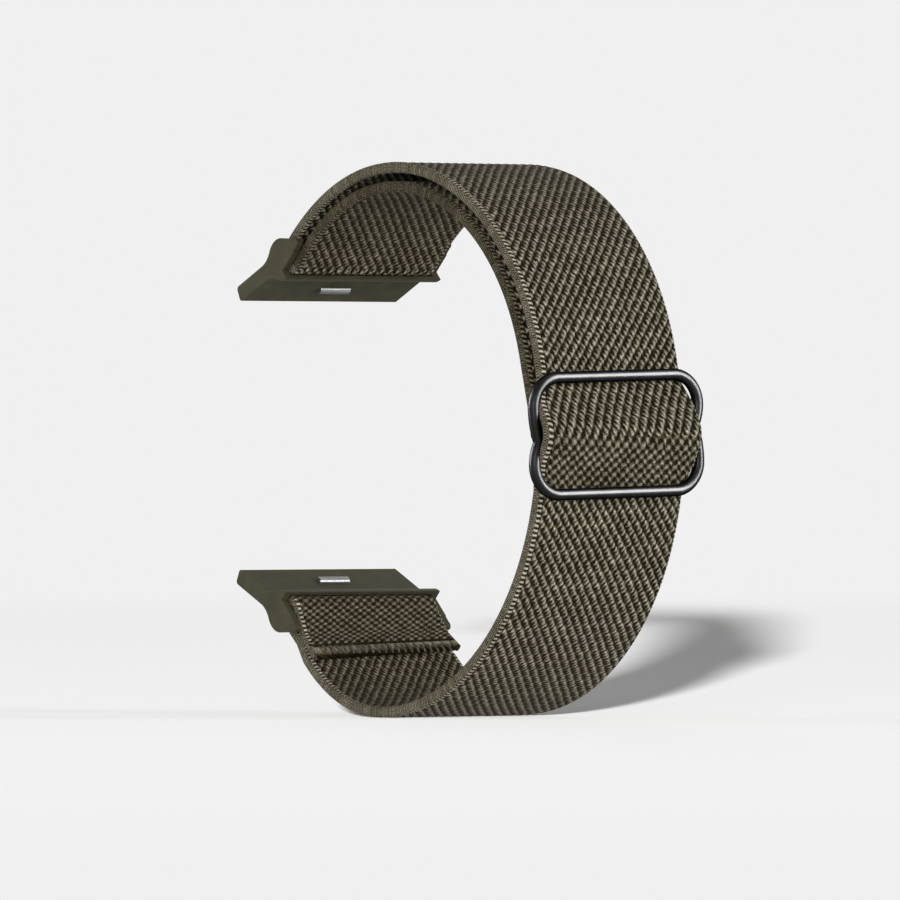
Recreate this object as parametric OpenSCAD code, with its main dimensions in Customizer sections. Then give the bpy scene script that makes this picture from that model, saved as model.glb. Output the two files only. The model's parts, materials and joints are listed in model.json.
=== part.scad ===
// Elastic woven band with a wire slider and two sprung lugs.
// The loop stands upright: +Z up, +X towards the slider, Y across the width.
// The origin is under the middle of the loop, on the surface it stands on.

/* [Strap] */
// Width of the webbing
strap_w = 23.6; // [18:0.2:26]
// Thickness of the webbing
strap_t = 1.5; // [1.1:0.1:1.8]
// Bevel that rounds the selvedges
selvedge = 0.4; // [0.1:0.05:0.5]

/* [Loop] */
// Radius of the outer layer's middle over the top
top_r = 34.5; // [30:0.5:42]
// Radius of the single layer's middle below the slider
front_r = 37; // [32:0.5:45]
// Radius of the single layer's middle at the lower back
heel_r = 24; // [18:0.5:28]
// Angle that the lower back turns through
heel_turn = 41; // [32:1:50]
// Straight length before the lower lug
heel_run = 9.5; // [9:0.5:16]
// Angle of the upper lug's bar round the top arc, from the front
upper_turn = 137; // [125:1:145]
// How far the front arc's centre lies below the top arc's centre
front_drop = 2.8; // [1:0.2:5]

/* [Slider] */
// How far the slider stands out beyond each selvedge
slider_side = 2.65; // [2.4:0.05:4]
// Height from the middle bar to the middle of an outer bar
bar_rise = 7.85; // [7:0.05:11]
// Diameter of the bent wire
wire_d = 1.6; // [1.2:0.1:2]
// Radius of the wire's corners, on its middle
corner_r = 4; // [3:0.25:5]
// Radius of the middle bar
middle_r = 0.75; // [0.6:0.05:0.9]
// How far the middle bar lies behind the outer bars
middle_back = 1.2; // [1:0.1:1.5]
// How far the middle bar lies below the top arc's centre
slider_drop = 1.9; // [0:0.1:4]
// How far the wire frame sits askew in its own plane, in degrees
slider_skew = 1.5; // [0:0.25:1.5]
// Room between an outer bar and the webbing
bar_room = 0.4; // [0.35:0.05:0.8]
// Room between the waist of the slider and the selvedge
waist_room = 0.15; // [0.1:0.05:0.4]
// How far the near waist lies below the middle bar, and the far one above it
waist_stagger = 0.9; // [0:0.1:1.2]

/* [Sewn ends] */
// Length of the loop sewn round the middle bar, up to where its layers meet
eye_len = 5; // [4.5:0.25:6]
// Length of the tail that is sewn down above that loop
tail_len = 1.6; // [1:0.1:1.8]
// Length from the lower bar to where the flap meets the strap
flap_eye = 5.5; // [4.5:0.25:6.5]
// Length of the flap from the lower bar to its end
flap_len = 9.3; // [8:0.1:9.5]
// Radius of the bend where a sewn end meets the layer under it
seam_r = 3; // [1.5:0.5:5]
// Length of a stitch across the flap's seam
stitch_l = 1.3; // [0.8:0.1:1.6]
// Width of the thread
thread_w = 0.45; // [0.3:0.05:0.6]
// Height of a stitch above the webbing
thread_h = 0.2; // [0.1:0.05:0.3]
// Spacing of the stitches across the width
stitch_pitch = 1.1; // [0.9:0.1:2]
// Spacing of the short stitches of the loop round the middle bar
eye_pitch = 2.2; // [1:0.2:3]
// Distance of the last seam from the end of its layer
seam_margin = 0.3; // [0.2:0.1:0.6]

/* [Lugs] */
// Tilt of the rails from level
rail_tilt = 25; // [18:1:30]
// Reach of the rail from the spring bar's axis to its tip
rail_reach = 11.8; // [10.5:0.1:14]
// Thickness of the rail
rail_t = 2.2; // [2:0.1:2.6]
// Corner radius of the rail's tip
tip_round = 0.5; // [0.3:0.1:0.9]
// Wall of the cradle round the webbing
cradle_wall = 0.5; // [0.4:0.05:0.9]
// How far the head's centre lies behind the spring bar's axis
head_back = 0.5; // [0.4:0.05:0.8]
// Radius of the hollow between the rail and the head
hollow_r = 4; // [2.5:0.25:6]
// Reach of the ear's lip in front of the spring bar
lip_reach = 4.1; // [3.4:0.1:4.8]
// Height of the lip's middle above the spring bar's axis
lip_rise = 0.6; // [0.4:0.1:1.2]
// Radius of the lip's end
lip_round = 0.55; // [0.4:0.05:0.7]
// Metal left under the spring bar's hole, where the inner layer passes
notch_wall = 0.8; // [0.6:0.05:1]
// Thickness of an ear
ear_t = 1; // [0.9:0.05:1.4]
// Room between the selvedge and an ear
ear_room = 0.25; // [0.2:0.05:0.6]

/* [Spring bars] */
// Radius of the spring bar's tube
tube_r = 0.75; // [0.7:0.05:0.9]
// Wall of the tube
tube_wall = 0.19; // [0.15:0.01:0.2]
// Radius of the tip's nose
nose_r = 0.4; // [0.3:0.02:0.42]
// How deep the nose sits in the ear
nose_depth = 0.6; // [0.4:0.05:0.65]
// Length of the tip's collar inside the tube
collar_l = 0.8; // [0.5:0.1:1.5]
// Length of the lip that closes each end of the tube
crimp_l = 0.3; // [0.2:0.05:0.5]
// Diameter of the coil spring's wire
coil_wire = 0.2; // [0.14:0.02:0.22]
// Turns of the coil spring
coil_turns = 12; // [8:1:16]

/* [Catches] */
// Length of the catch's nose across the band
catch_l = 5; // [3:0.5:8]
// Thickness of the catch's nose
catch_t = 1.3; // [1:0.1:1.6]
// How far the nose stands out of the rail
catch_out = 0.6; // [0.4:0.05:0.8]
// Width of the flange round the nose
flange = 0.5; // [0.4:0.05:0.7]
// Thickness of the flange
flange_t = 0.35; // [0.3:0.05:0.4]
// Thickness of the cover plate
cover_t = 0.45; // [0.35:0.05:0.5]
// Metal left over the pocket
pocket_roof = 0.4; // [0.3:0.05:0.5]
// Thickness of the leaf spring
leaf_t = 0.14; // [0.1:0.02:0.2]

/* [Fits] */
// Running clearance of the webbing on a bar
turn_room = 0.08; // [0.05:0.01:0.1]
// Running clearance of small sliding pieces
slide_room = 0.03; // [0.02:0.01:0.05]
// Room between the lug's cradle and the turned webbing
cradle_room = 0.12; // [0.1:0.02:0.25]
// Gap between layers of webbing that lie on each other
lay_room = 0.04; // [0.02:0.01:0.1]

/* [Hidden] */
$fn = 96;
arc_fn = 192;
// Small step that keeps two forms from sharing a face
tiny = 0.01;
// A straight run is slimmer by this much than the arcs that it joins
ease = 0.02;
// How far a straight run reaches into an arc
lap = 0.2;
// How far a cut runs past the face that it opens
cut = 1;
// Larger than any piece that a half plane cuts
big = 40;
// Local angles where the cradle's wall starts and ends round the webbing
cradle_from = 120;
cradle_to = 270;

webbing = "#5b5546";
webbing_thread = "#7a735f";
olive_paint = "#4c4c38";
gunmetal = "#3a3a3d";
steel = "#b8bbbe";

// Points of the side view are [x, z]. The top arc's centre is [0, 0] here.
function at_angle(c, r, a) = c + r * [cos(a), sin(a)];
function heading(a) = [cos(a), sin(a)];
function angle_of(v) = atan2(v[1], v[0]);
function sweep(from, to) = (to - from) - 360 * floor((to - from) / 360);
// Direction of a straight run that crosses from circle a to circle b.
// side is 1 where a lies on the left of the way, and -1 where it lies on the right.
function crossing(a, ra, b, rb, side) =
    angle_of(b - a) + side * asin(min(1, (ra + rb) / norm(b - a)));

top_c = [0, 0];
turn_r = tube_r + turn_room + strap_t / 2;
inner_r = top_r - 2 * turn_r;
upper_pin = at_angle(top_c, top_r - turn_r, upper_turn);

wire_r = wire_d / 2;
wrap_r = wire_r + bar_room + strap_t / 2;
upper_bar_z = bar_rise - slider_drop;
lower_bar_z = -bar_rise - slider_drop;
slider_x = sqrt(pow(top_r + wrap_r, 2) - pow(upper_bar_z, 2));
upper_bar = [slider_x, upper_bar_z];
lower_bar = [slider_x, lower_bar_z];
middle_bar = [slider_x - middle_back, -slider_drop];
eye_r = middle_r + turn_room + strap_t / 2;
bulge_r = eye_r + strap_t + lay_room;

front_c_x = slider_x - sqrt(pow(front_r + wrap_r, 2) - pow(lower_bar_z + front_drop, 2));
front_c = [front_c_x, -front_drop];
heel_c = [front_c_x, front_c[1] - front_r + heel_r];
heel_start = at_angle(heel_c, heel_r, -90 - heel_turn);
heel_end = heel_start + heel_run * heading(180 - heel_turn);
inward = [sin(heel_turn), cos(heel_turn)];
lower_pin = heel_end + turn_r * inward;

// The outer layer's way through the slider
upper_touch = angle_of(upper_bar - top_c);
to_bulge = crossing(upper_bar, wrap_r, middle_bar, bulge_r, 1);
from_bulge = crossing(middle_bar, bulge_r, lower_bar, wrap_r, -1);
lower_touch = angle_of(lower_bar - front_c);

// The inner layer's way to the middle bar, and the tail sewn on it
to_eye = crossing(top_c, inner_r, middle_bar, eye_r, -1);
inner_leave = at_angle(top_c, inner_r, to_eye + 90);
eye_enter = at_angle(middle_bar, eye_r, to_eye - 90);
lay_step = strap_t + lay_room;
tail_meet = middle_bar + eye_len * heading(to_eye + 180) + (lay_step - eye_r) * heading(to_eye + 90);
tail_bend = tail_meet + seam_r * heading(to_eye + 90);
to_tail = crossing(middle_bar, eye_r, tail_bend, seam_r, 1);
tail_end = tail_meet + tail_len * heading(to_eye + 180);

// The flap's way back from the lower bar
flap_dir = -heel_turn;
flap_meet = lower_pin + flap_eye * heading(flap_dir) + (lay_step - turn_r) * inward;
flap_bend = flap_meet + seam_r * inward;
to_flap = crossing(lower_pin, turn_r, flap_bend, seam_r, -1);
flap_end = flap_meet + (flap_len - flap_eye) * heading(flap_dir);

// The slider's wire, seen from the front: p across the band, q up from the middle bar
wire_p = strap_w / 2 + slider_side - wire_r;
side_q = bar_rise - corner_r;
side_in = wire_p - strap_w / 2 - waist_room;
// Radius of a side that drops by h from the corner to its waist
function side_r(h) = (pow(h, 2) + pow(side_in, 2) - pow(wire_r, 2)) / (2 * (side_in - wire_r));
function side_turn(h) = asin(h / side_r(h));
waist_p = wire_p - side_r(side_q) * (1 - cos(side_turn(side_q)));
// Degrees that a side runs on past its waist
side_spare = 4;

ear_in = strap_w / 2 + ear_room;
lug_w = 2 * (ear_in + ear_t);
cradle_r = turn_r + strap_t / 2 + cradle_room;
head_r = cradle_r + cradle_wall;
head_c = [-head_back, 0];
hollow_x = sqrt(pow(head_r + hollow_r, 2) - pow(rail_t / 2 + hollow_r, 2));
lip_c = [lip_reach - lip_round, lip_rise];
lip_turn = angle_of(lip_c - head_c) + acos((head_r - lip_round) / norm(lip_c - head_c));
hole_r = nose_r + slide_room;
// The notch for the inner layer turns through this share of the rail's tilt
notch_share = 0.75;
notch_turn = rail_tilt * notch_share;

tube_half = strap_w / 2 + ear_room / 2;
tube_bore = tube_r - tube_wall;
collar_r = tube_bore - slide_room;
collar_end = tube_half - crimp_l - slide_room;
nose_end = ear_in + nose_depth;
coil_end = collar_end - collar_l - coil_wire / 2 - tiny;
coil_r = collar_r - coil_wire / 2 - slide_room;

catch_x = -(rail_reach + head_r + head_back) / 2;
pocket_l = catch_l + 2 * flange + 4 * slide_room;
pocket_w = catch_t + 2 * flange + 4 * slide_room;
pocket_top = rail_t / 2 - pocket_roof;
flange_low = cover_t - rail_t / 2 + slide_room;
leaf_low = flange_low + flange_t + slide_room;
leaf_half = (pocket_l - 4 * slide_room) / 2;
leaf_sag = pocket_top - slide_room - leaf_low - leaf_t;
leaf_r = (leaf_half * leaf_half + leaf_sag * leaf_sag) / (2 * leaf_sag);
leaf_turn = asin(leaf_half / leaf_r);

// Box of the whole band in the side view, which sets the origin
function tilted(p, a) = [p[0] * cos(a) - p[1] * sin(a), p[0] * sin(a) + p[1] * cos(a)];
rail_corner = [-rail_reach + tip_round, rail_t / 2 - tip_round];
back_upper = upper_pin[0] + tilted(rail_corner, rail_tilt)[0] - tip_round;
back_lower = lower_pin[0] + tilted(rail_corner, rail_tilt)[0] - tip_round;
back_x = min(back_upper, back_lower);
front_x = middle_bar[0] + bulge_r + strap_t / 2;
mid_x = (back_x + front_x) / 2;
low_z = heel_c[1] - heel_r - strap_t / 2;

module placed() translate([-mid_x, 0, -low_z]) children();
module at(p) translate([p[0], 0, p[1]]) children();
module tilt(a) rotate([0, -a, 0]) children();
// Side-view shape given a width across the band
module across(w) rotate([90, 0, 0]) linear_extrude(w, center = true) children();
// Shape in the plane of X and Y stood up so that it turns about Y
module about_y() rotate([90, 0, 0]) children();

// Cross-section of the webbing: width along x, thickness along y
module strap_section(inset = 0) {
    w = strap_w / 2 - inset;
    t = strap_t / 2 - inset;
    polygon([
        [-w + selvedge, -t], [w - selvedge, -t], [w, -t + selvedge], [w, t - selvedge],
        [w - selvedge, t], [-w + selvedge, t], [-w, t - selvedge], [-w, -t + selvedge]
    ]);
}

module strap_arc(c, r, from, turn)
    at(c) about_y() rotate_extrude(angle = turn, start = from, $fn = arc_fn)
        translate([r, 0]) rotate(90) strap_section();

// Straight run from p to q, longer by a lap at each end that joins an arc
module strap_run(p, q, lap_p = lap, lap_q = lap)
    at(p) tilt(angle_of(q - p)) translate([-lap_p, 0, 0]) rotate([90, 0, 90])
        linear_extrude(norm(q - p) + lap_p + lap_q) strap_section(ease);

module strap_outer_top() placed() color(webbing)
    strap_arc(top_c, top_r, 90, upper_turn - 90);

module strap_outer_front() placed() color(webbing)
    strap_arc(top_c, top_r, upper_touch, 90 - upper_touch);

module strap_inner_top() placed() color(webbing)
    strap_arc(top_c, inner_r, 90, upper_turn - 90);

module strap_inner_front() placed() color(webbing) {
    strap_arc(top_c, inner_r, to_eye + 90, sweep(to_eye + 90, 90));
    strap_run(inner_leave, eye_enter, lap, 0);
}

module strap_upper_turn() placed() color(webbing)
    strap_arc(upper_pin, turn_r, upper_turn, 180);

// Behind the upper bar, over the middle bar and behind the lower bar
module strap_weave() placed() color(webbing) {
    strap_arc(upper_bar, wrap_r, upper_touch + 180, sweep(upper_touch + 180, to_bulge - 90));
    strap_run(at_angle(upper_bar, wrap_r, to_bulge - 90), at_angle(middle_bar, bulge_r, to_bulge + 90));
    strap_arc(middle_bar, bulge_r, from_bulge + 90, sweep(from_bulge + 90, to_bulge + 90));
    strap_run(at_angle(middle_bar, bulge_r, from_bulge + 90), at_angle(lower_bar, wrap_r, from_bulge - 90));
    strap_arc(lower_bar, wrap_r, from_bulge - 90, sweep(from_bulge - 90, lower_touch + 180));
}

module strap_sewn_eye() placed() color(webbing) {
    strap_arc(middle_bar, eye_r, to_eye - 90, sweep(to_eye - 90, to_tail - 90));
    strap_run(at_angle(middle_bar, eye_r, to_tail - 90), at_angle(tail_bend, seam_r, to_tail + 90));
    strap_arc(tail_bend, seam_r, to_eye - 90, sweep(to_eye - 90, to_tail + 90));
    strap_run(tail_meet, tail_end, lap, 0);
}

module strap_lower_front() placed() color(webbing)
    strap_arc(front_c, front_r, -90, 90 + lower_touch);

module strap_lower_back() placed() color(webbing) {
    strap_arc(heel_c, heel_r, -90 - heel_turn, heel_turn);
    strap_run(heel_start, heel_end, lap, 0);
}

module strap_lower_turn() placed() color(webbing)
    strap_arc(lower_pin, turn_r, to_flap + 90, sweep(to_flap + 90, 270 - heel_turn));

module strap_flap() placed() color(webbing) {
    strap_run(at_angle(lower_pin, turn_r, to_flap + 90), at_angle(flap_bend, seam_r, to_flap - 90), 0, lap);
    strap_arc(flap_bend, seam_r, to_flap - 90, sweep(to_flap - 90, flap_dir - 90));
    strap_run(flap_meet, flap_end, lap, 0);
}

// Row of stitches across the band, on the face at point p with its length along angle a
module stitch_row(p, a, length, pitch) {
    count = floor((strap_w - 2 * selvedge - thread_w) / pitch);
    for (i = [0 : count])
        at(p) tilt(a) translate([-length, (i - count / 2) * pitch - thread_w / 2, 0])
            cube([length, thread_w, thread_h]);
}

module eye_stitching() placed() color(webbing_thread) {
    face = strap_t / 2;
    for (s = [eye_len, eye_len + tail_len - seam_margin])
        stitch_row(middle_bar + s * heading(to_eye + 180) + (eye_r + face) * heading(to_eye - 90),
            to_eye - 180, thread_w, eye_pitch);
}

module flap_stitching() placed() color(webbing_thread)
    stitch_row(flap_end - seam_margin * heading(flap_dir) + strap_t / 2 * inward,
        flap_dir, stitch_l, stitch_pitch);

// One side of the upper bow, from the corner down to the waist at height q. It runs on into
// the lower bow's side, and both are cut flat where the selvedge passes.
module bow_side(q) {
    h = side_q - q;
    turn = side_turn(h) + side_spare;
    intersection() {
        translate([wire_p - side_r(h), side_q, 0]) rotate_extrude(angle = turn, start = -turn)
            translate([side_r(h), 0]) circle(r = wire_r);
        translate([strap_w / 2 + waist_room + ease, -big, -big]) cube(2 * big);
    }
}

// The slider's upper bow: the outer bar, two corners and two sides
module bow() {
    corner = wire_p - corner_r;
    translate([-corner - lap, bar_rise, 0]) rotate([0, 90, 0])
        cylinder(h = 2 * (corner + lap), r = wire_r - tiny);
    for (m = [0, 1]) mirror([m, 0, 0]) {
        translate([corner, side_q, 0]) rotate_extrude(angle = 90)
            translate([corner_r, 0]) circle(r = wire_r);
        bow_side(m == 1 ? -waist_stagger : waist_stagger);
    }
}

module middle_bar_rod(p)
    at(p) rotate([90, 0, 0]) cylinder(h = 2 * waist_p, r = middle_r, center = true);

module slider_frame() placed() color(gunmetal)
    difference() {
        at([slider_x, -slider_drop]) rotate([90, 0, 90]) rotate(slider_skew) {
            bow();
            rotate(180) bow();
        }
        middle_bar_rod(middle_bar);
    }

module slider_middle_bar() placed() color(gunmetal) middle_bar_rod(middle_bar);

// Each lug is drawn with its spring bar along Y through the origin and its rail towards -X.
// The outer face of the band is up here, and the catch looks down.
module upper_place() placed() at(upper_pin) tilt(rail_tilt) children();
module lower_place() placed() at(lower_pin) mirror([0, 0, 1]) tilt(rail_tilt) children();

module rail_outline() {
    h = rail_t / 2;
    translate([-rail_reach, tip_round - h]) square([rail_reach, rail_t - 2 * tip_round]);
    translate([tip_round - rail_reach, -h]) square([rail_reach - tip_round, rail_t]);
    for (s = [-1, 1]) translate([tip_round - rail_reach, s * (h - tip_round)]) circle(r = tip_round);
}

module head_outline() translate(head_c) circle(r = head_r);

// Hollow curves that blend the rail into the head
module hollows() {
    c = head_c + [-hollow_x, rail_t / 2 + hollow_r];
    touch = head_c + head_r * (c - head_c) / (head_r + hollow_r);
    for (s = [0, 1]) mirror([0, s]) difference() {
        polygon([[c[0], 0], head_c, touch, [c[0], touch[1]]]);
        translate(c) circle(r = hollow_r + ease);
    }
}

// Lip that runs from the head to a round end beside the webbing
module ear_lip() {
    translate(lip_c) circle(r = lip_round);
    polygon([
        head_c, at_angle(head_c, head_r - ease, lip_turn), at_angle(lip_c, lip_round - ease, lip_turn),
        lip_c, lip_c - [0, lip_round - ease], head_c - [0, head_r / 2]
    ]);
}

// What the lug leaves open for the inner layer
module inner_notch()
    rotate(notch_turn) translate([-hole_r - notch_wall, -big - hole_r - notch_wall])
        square([big, big]);

// What the cradle leaves open for the webbing, from the front round to its two edges
module cradle_mouth() {
    circle(r = cradle_r);
    polygon([
        [0, 0], big * heading(cradle_from), [big, big], [big, -big], big * heading(cradle_to)
    ]);
}

module lug_body() color(olive_paint)
    difference() {
        union() {
            across(lug_w) {
                rail_outline();
                head_outline();
                hollows();
            }
            for (s = [-1, 1]) translate([0, s * (lug_w - ear_t) / 2, 0]) across(ear_t) ear_lip();
        }
        across(2 * ear_in) cradle_mouth();
        across(lug_w + 2 * cut) inner_notch();
        rotate([90, 0, 0]) cylinder(h = 2 * (nose_end + slide_room), r = hole_r, center = true);
        translate([catch_x - pocket_w / 2, -pocket_l / 2, -rail_t])
            cube([pocket_w, pocket_l, rail_t + pocket_top]);
    }

module bar_tube() color(steel)
    rotate([90, 0, 0]) difference() {
        cylinder(h = 2 * tube_half, r = tube_r, center = true);
        cylinder(h = 2 * (tube_half - crimp_l), r = tube_bore, center = true);
        cylinder(h = 2 * (tube_half + cut), r = hole_r, center = true);
    }

// One tip: side is -1 for the near ear and 1 for the far one
module bar_tip(side) color(steel)
    rotate([-90 * side, 0, 0]) {
        translate([0, 0, collar_end - collar_l]) cylinder(h = collar_l, r = collar_r);
        translate([0, 0, collar_end - tiny]) cylinder(h = nose_end - collar_end + tiny, r = nose_r);
    }

// Coil spring swept as rings of six points along a helix about Y
module bar_spring() {
    per_turn = 8;
    steps = per_turn * coil_turns;
    sides = 6;
    points = [for (i = [0 : steps]) for (k = [0 : sides - 1])
        let (a = 360 * i / per_turn, b = 360 * k / sides, r = coil_r + coil_wire / 2 * cos(b))
        [r * cos(a), coil_end * (2 * i / steps - 1) + coil_wire / 2 * sin(b), r * sin(a)]];
    wall = [for (i = [0 : steps - 1]) for (k = [0 : sides - 1])
        let (n = (k + 1) % sides, p = i * sides) [[p + k, p + sides + k, p + sides + n], [p + k, p + sides + n, p + n]]];
    first = [for (k = [1 : sides - 2]) [0, k, k + 1]];
    last = [for (k = [1 : sides - 2]) [steps * sides, steps * sides + k + 1, steps * sides + k]];
    color(steel) polyhedron(points, concat([for (pair = wall) each pair], first, last));
}

module catch() color(steel)
    translate([catch_x, 0, 0]) {
        w = catch_t + 2 * flange;
        l = catch_l + 2 * flange;
        nose_c = catch_t / 2 - rail_t / 2 - catch_out;
        translate([-w / 2, -l / 2, flange_low]) cube([w, l, flange_t]);
        translate([-catch_t / 2, -catch_l / 2, nose_c]) cube([catch_t, catch_l, flange_low - nose_c + tiny]);
        translate([0, 0, nose_c]) rotate([90, 0, 0]) cylinder(h = catch_l, r = catch_t / 2, center = true);
    }

module catch_cover() color(steel)
    translate([catch_x, 0, -rail_t / 2]) difference() {
        w = pocket_w - 2 * slide_room;
        l = pocket_l - 2 * slide_room;
        translate([-w / 2, -l / 2, 0]) cube([w, l, cover_t]);
        translate([-catch_t / 2 - 2 * slide_room, -catch_l / 2 - 2 * slide_room, -cut])
            cube([catch_t + 4 * slide_room, catch_l + 4 * slide_room, cover_t + 2 * cut]);
    }

// Bowed leaf: its ends rest on the flange and its crown on the pocket's roof
module catch_spring() color(steel)
    translate([catch_x, 0, pocket_top - slide_room - leaf_r]) rotate([90, 0, 90])
        rotate_extrude(angle = 2 * leaf_turn, start = 90 - leaf_turn)
            translate([leaf_r - leaf_t, -catch_t / 2]) square([leaf_t, catch_t]);

strap_outer_top();
strap_outer_front();
strap_inner_top();
strap_inner_front();
strap_upper_turn();
strap_weave();
strap_sewn_eye();
strap_lower_front();
strap_lower_back();
strap_lower_turn();
strap_flap();
eye_stitching();
flap_stitching();
slider_frame();
slider_middle_bar();
upper_place() lug_body();  // upper_lug
upper_place() bar_tube();  // upper_bar_tube
upper_place() bar_tip(-1);  // upper_bar_tip_near
upper_place() bar_tip(1);  // upper_bar_tip_far
upper_place() bar_spring();  // upper_bar_spring
upper_place() catch();  // upper_catch
upper_place() catch_spring();  // upper_catch_spring
upper_place() catch_cover();  // upper_catch_cover
lower_place() lug_body();  // lower_lug
lower_place() bar_tube();  // lower_bar_tube
lower_place() bar_tip(-1);  // lower_bar_tip_near
lower_place() bar_tip(1);  // lower_bar_tip_far
lower_place() bar_spring();  // lower_bar_spring
lower_place() catch();  // lower_catch
lower_place() catch_spring();  // lower_catch_spring
lower_place() catch_cover();  // lower_catch_cover
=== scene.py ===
"""Looks for the stretch band: woven webbing, dark wire slider, painted lugs, and a pale studio.

Lengths in the helpers are millimetres in the side view of the band, [x, z], with the top arc's
centre at [0, 0], as in part.scad. OFFSET moves them into the frame, where the band stands.
"""

import json
import math

import bpy
import numpy as np
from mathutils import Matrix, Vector


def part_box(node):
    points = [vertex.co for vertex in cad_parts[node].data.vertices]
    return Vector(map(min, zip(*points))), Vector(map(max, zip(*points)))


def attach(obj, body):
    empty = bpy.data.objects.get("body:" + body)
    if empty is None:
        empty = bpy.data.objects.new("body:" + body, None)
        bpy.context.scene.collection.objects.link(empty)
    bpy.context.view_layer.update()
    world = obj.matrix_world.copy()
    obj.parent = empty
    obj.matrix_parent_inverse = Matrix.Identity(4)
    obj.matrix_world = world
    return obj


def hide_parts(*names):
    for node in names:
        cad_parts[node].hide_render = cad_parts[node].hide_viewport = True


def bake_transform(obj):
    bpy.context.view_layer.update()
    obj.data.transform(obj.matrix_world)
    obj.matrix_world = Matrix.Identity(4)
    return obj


MM = 0.001
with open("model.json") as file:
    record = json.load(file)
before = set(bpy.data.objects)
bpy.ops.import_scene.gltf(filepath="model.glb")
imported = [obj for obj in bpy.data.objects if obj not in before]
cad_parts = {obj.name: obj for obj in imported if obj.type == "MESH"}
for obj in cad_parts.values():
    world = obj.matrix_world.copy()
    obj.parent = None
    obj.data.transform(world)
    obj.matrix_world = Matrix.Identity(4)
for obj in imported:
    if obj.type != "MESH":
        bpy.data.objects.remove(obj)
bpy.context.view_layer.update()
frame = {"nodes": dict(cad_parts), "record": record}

# Driving sizes of the band, in mm and degrees, as in part.scad
STRAP_W, STRAP_T = 23.6, 1.5
TOP_R, FRONT_R, HEEL_R = 34.5, 37.0, 24.0
HEEL_TURN, HEEL_RUN, UPPER_TURN, FRONT_DROP = 41.0, 9.5, 137.0, 2.8
BAR_RISE, SLIDER_DROP, MIDDLE_BACK = 7.85, 1.9, 1.2
WIRE_R, BAR_ROOM, MIDDLE_R = 0.8, 0.4, 0.75
TUBE_R, TURN_ROOM, LAY_ROOM = 0.75, 0.08, 0.04
EYE_LEN, TAIL_LEN, FLAP_EYE, FLAP_LEN, SEAM_R = 5.0, 1.6, 5.5, 9.3, 3.0


def at_angle(centre, radius, degrees):
    """Point on a circle."""
    a = math.radians(degrees)
    return centre + radius * np.array([math.cos(a), math.sin(a)])


def heading(degrees):
    """Unit step in a direction."""
    return at_angle(np.zeros(2), 1, degrees)


def angle_of(v):
    return math.degrees(math.atan2(v[1], v[0]))


def crossing(a, ra, b, rb, side):
    """Direction of a straight run that crosses from circle a to circle b."""
    d = b - a
    return angle_of(d) + side * math.degrees(math.asin(min(1, (ra + rb) / np.hypot(*d))))


# The route of the webbing through the lugs and the slider
TOP_C = np.zeros(2)
TURN_R = TUBE_R + TURN_ROOM + STRAP_T / 2
INNER_R = TOP_R - 2 * TURN_R
UPPER_PIN = at_angle(TOP_C, TOP_R - TURN_R, UPPER_TURN)
WRAP_R = WIRE_R + BAR_ROOM + STRAP_T / 2
UPPER_BAR_Z, LOWER_BAR_Z = BAR_RISE - SLIDER_DROP, -BAR_RISE - SLIDER_DROP
SLIDER_X = math.sqrt((TOP_R + WRAP_R) ** 2 - UPPER_BAR_Z**2)
UPPER_BAR = np.array([SLIDER_X, UPPER_BAR_Z])
LOWER_BAR = np.array([SLIDER_X, LOWER_BAR_Z])
MIDDLE_BAR = np.array([SLIDER_X - MIDDLE_BACK, -SLIDER_DROP])
EYE_R = MIDDLE_R + TURN_ROOM + STRAP_T / 2
LAY_STEP = STRAP_T + LAY_ROOM
BULGE_R = EYE_R + LAY_STEP
FRONT_REACH = math.sqrt((FRONT_R + WRAP_R) ** 2 - (LOWER_BAR_Z + FRONT_DROP) ** 2)
FRONT_C = np.array([SLIDER_X - FRONT_REACH, -FRONT_DROP])
HEEL_C = FRONT_C + np.array([0, HEEL_R - FRONT_R])
HEEL_START = at_angle(HEEL_C, HEEL_R, -90 - HEEL_TURN)
HEEL_END = HEEL_START + HEEL_RUN * heading(180 - HEEL_TURN)
INWARD = heading(90 - HEEL_TURN)
LOWER_PIN = HEEL_END + TURN_R * INWARD
UPPER_TOUCH = angle_of(UPPER_BAR - TOP_C)
LOWER_TOUCH = angle_of(LOWER_BAR - FRONT_C)
TO_BULGE = crossing(UPPER_BAR, WRAP_R, MIDDLE_BAR, BULGE_R, 1)
FROM_BULGE = crossing(MIDDLE_BAR, BULGE_R, LOWER_BAR, WRAP_R, -1)
TO_EYE = crossing(TOP_C, INNER_R, MIDDLE_BAR, EYE_R, -1)
TAIL_MEET = MIDDLE_BAR + EYE_LEN * heading(TO_EYE + 180) + (LAY_STEP - EYE_R) * heading(TO_EYE + 90)
TAIL_BEND = TAIL_MEET + SEAM_R * heading(TO_EYE + 90)
TO_TAIL = crossing(MIDDLE_BAR, EYE_R, TAIL_BEND, SEAM_R, 1)
TAIL_END = TAIL_MEET + TAIL_LEN * heading(TO_EYE + 180)
FLAP_DIR = -HEEL_TURN
FLAP_MEET = LOWER_PIN + FLAP_EYE * heading(FLAP_DIR) + (LAY_STEP - TURN_R) * INWARD
FLAP_BEND = FLAP_MEET + SEAM_R * INWARD
TO_FLAP = crossing(LOWER_PIN, TURN_R, FLAP_BEND, SEAM_R, -1)
FLAP_END = FLAP_MEET + (FLAP_LEN - FLAP_EYE) * heading(FLAP_DIR)

# The upper bar and the top of the loop give the place of the top arc's centre in the frame
top_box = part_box("strap_outer_top")
bar_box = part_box("upper_bar_tube")
OFFSET = np.array([
    (bar_box[0][0] + bar_box[1][0]) / 2 / MM - UPPER_PIN[0],
    top_box[1][2] / MM - TOP_R - STRAP_T / 2,
])

# Mesh of the webbing: length of a step along it in mm, cuts across a face and round an edge
STEP, FACE_STEPS, EDGE_STEPS = 0.3, 78, 7

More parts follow.
